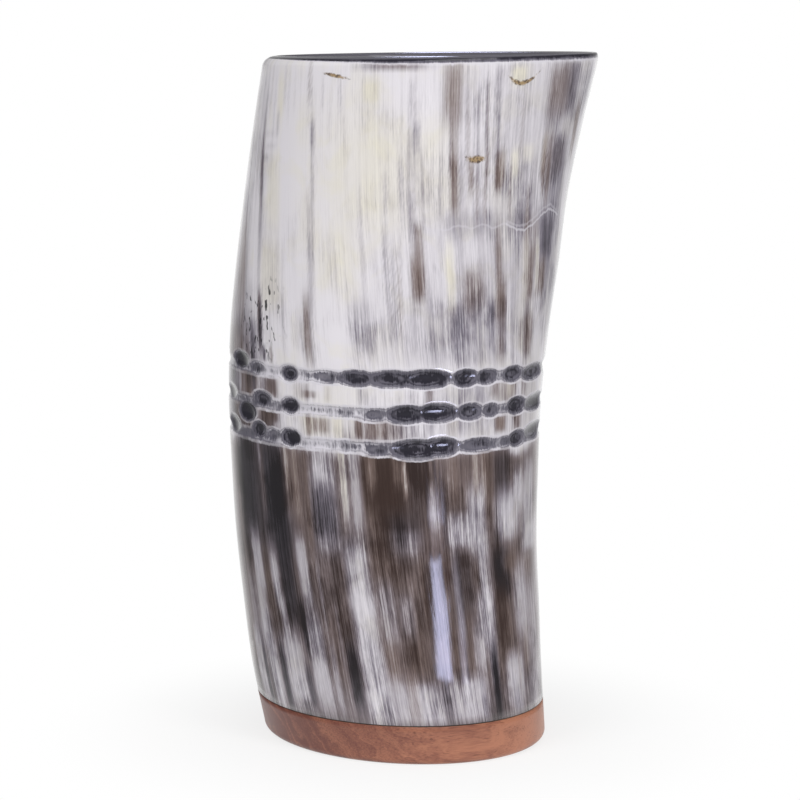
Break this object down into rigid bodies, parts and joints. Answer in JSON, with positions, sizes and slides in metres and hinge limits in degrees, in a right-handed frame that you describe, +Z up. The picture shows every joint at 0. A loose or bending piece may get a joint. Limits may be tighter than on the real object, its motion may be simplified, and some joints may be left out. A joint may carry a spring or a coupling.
{
  "type": "horn drinking cup",
  "caption": "Leaning oval drinking cup made from a length of polished cattle horn, ringed with file-cut grooves, on a flush wooden foot.",
  "frame": {"origin": "middle of the wooden foot's flat underside", "axes": "+Z up along the cup, -Y towards the viewer of the picture, +X to the picture's right"},
  "size_m": [0.0886, 0.0819, 0.1655],
  "materials": {
    "polished_horn": "polished horn, streaked white, cream, brown and charcoal",
    "oiled_wood": "satin reddish-brown wood",
    "dark_glue": "dark hardened glue",
    "clear_resin": "glossy amber sealing resin"
  },
  "bodies": {
    "root": {"horn_body": "polished_horn", "wood_foot": "oiled_wood", "glue_joint": "dark_glue", "floor_resin": "clear_resin"}
  },
  "joints": []
}
